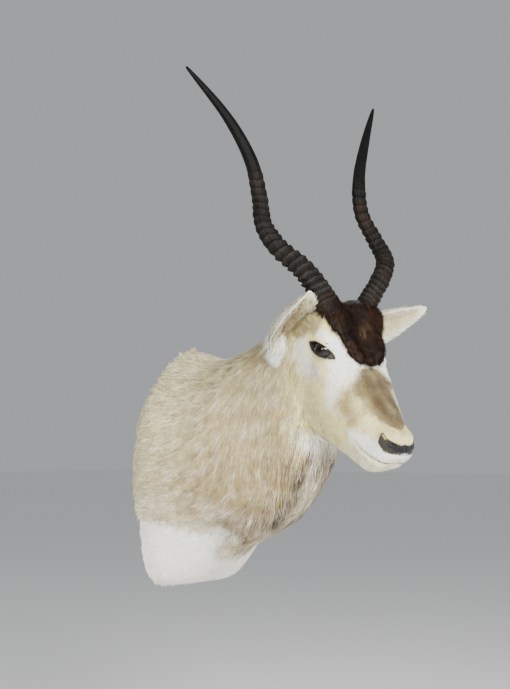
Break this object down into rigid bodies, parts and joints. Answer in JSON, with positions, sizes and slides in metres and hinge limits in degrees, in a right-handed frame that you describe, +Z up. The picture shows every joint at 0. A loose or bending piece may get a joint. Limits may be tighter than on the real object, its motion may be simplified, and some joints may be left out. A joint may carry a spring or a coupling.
{
  "type": "addax shoulder mount",
  "caption": "Wall-hung shoulder mount of an addax antelope, with long ringed horns, a turned head, glass eyes and a plywood back board with a keyhole hanger.",
  "frame": {"origin": "middle of the back board on its back face, which lies on the wall", "axes": "+Y into the wall, so the animal looks along -Y; +Z up; +X to the animal's own left"},
  "size_m": [0.4406, 0.5489, 0.954],
  "materials": {
    "fur": "dense short and long animal hair, cream to sandy beige with a chestnut forehead and a white face",
    "horn": "dark grey-brown horn, ringed below and smooth at the tip, with a slight sheen",
    "eye_glass": "polished near-black glass eye",
    "plywood": "raw birch plywood",
    "steel": "zinc-plated steel"
  },
  "bodies": {
    "root": {"hide": "fur", "horn_left": "horn", "horn_right": "horn", "eye_left": "eye_glass", "eye_right": "eye_glass", "back_board": "plywood", "hanger_plate": "steel", "hanger_screw_left": "steel", "hanger_screw_right": "steel"}
  },
  "joints": []
}
